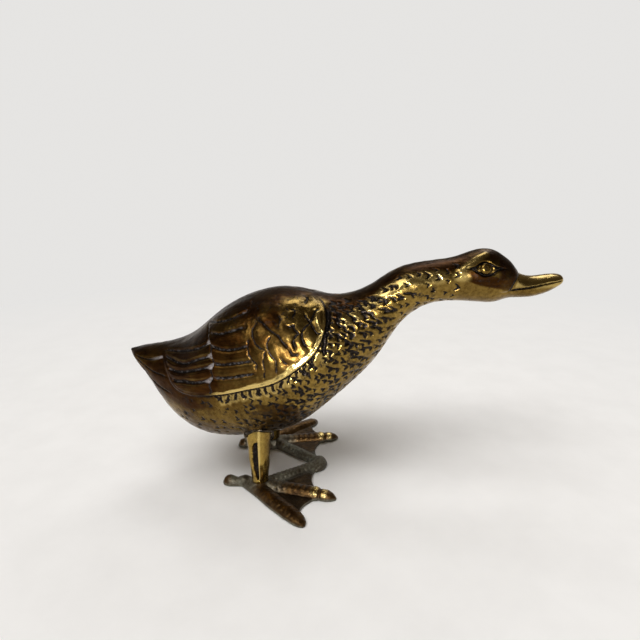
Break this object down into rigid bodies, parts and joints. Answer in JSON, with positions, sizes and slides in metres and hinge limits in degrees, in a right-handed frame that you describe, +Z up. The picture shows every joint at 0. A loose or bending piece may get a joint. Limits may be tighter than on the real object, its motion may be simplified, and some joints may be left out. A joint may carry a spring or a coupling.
{
  "type": "duck figurine",
  "caption": "Hollow cast brass duck ornament with an outstretched neck, folded wings in relief and brazed legs, standing on a casting of webbed feet.",
  "frame": {"origin": "on the floor, at the centre of the bounding box seen from above", "axes": "+X is forward along the body, from tail to bill; +Y is the duck's left; +Z is up"},
  "size_m": [0.2004, 0.097, 0.1119],
  "materials": {
    "body_brass": "polished relief with dark patina in the recesses",
    "leg_brass": "polished",
    "braze": "dark, glossy, lumpy",
    "feet_brass": "dark brown patina with grey-green verdigris",
    "screw_brass": "dull"
  },
  "bodies": {
    "root": {"right_body_half": "body_brass", "left_body_half": "body_brass", "right_leg": "leg_brass", "left_leg": "leg_brass", "right_leg_braze": "braze", "left_leg_braze": "braze", "feet_casting": "feet_brass", "right_foot_screw": "screw_brass", "left_foot_screw": "screw_brass"}
  },
  "joints": []
}
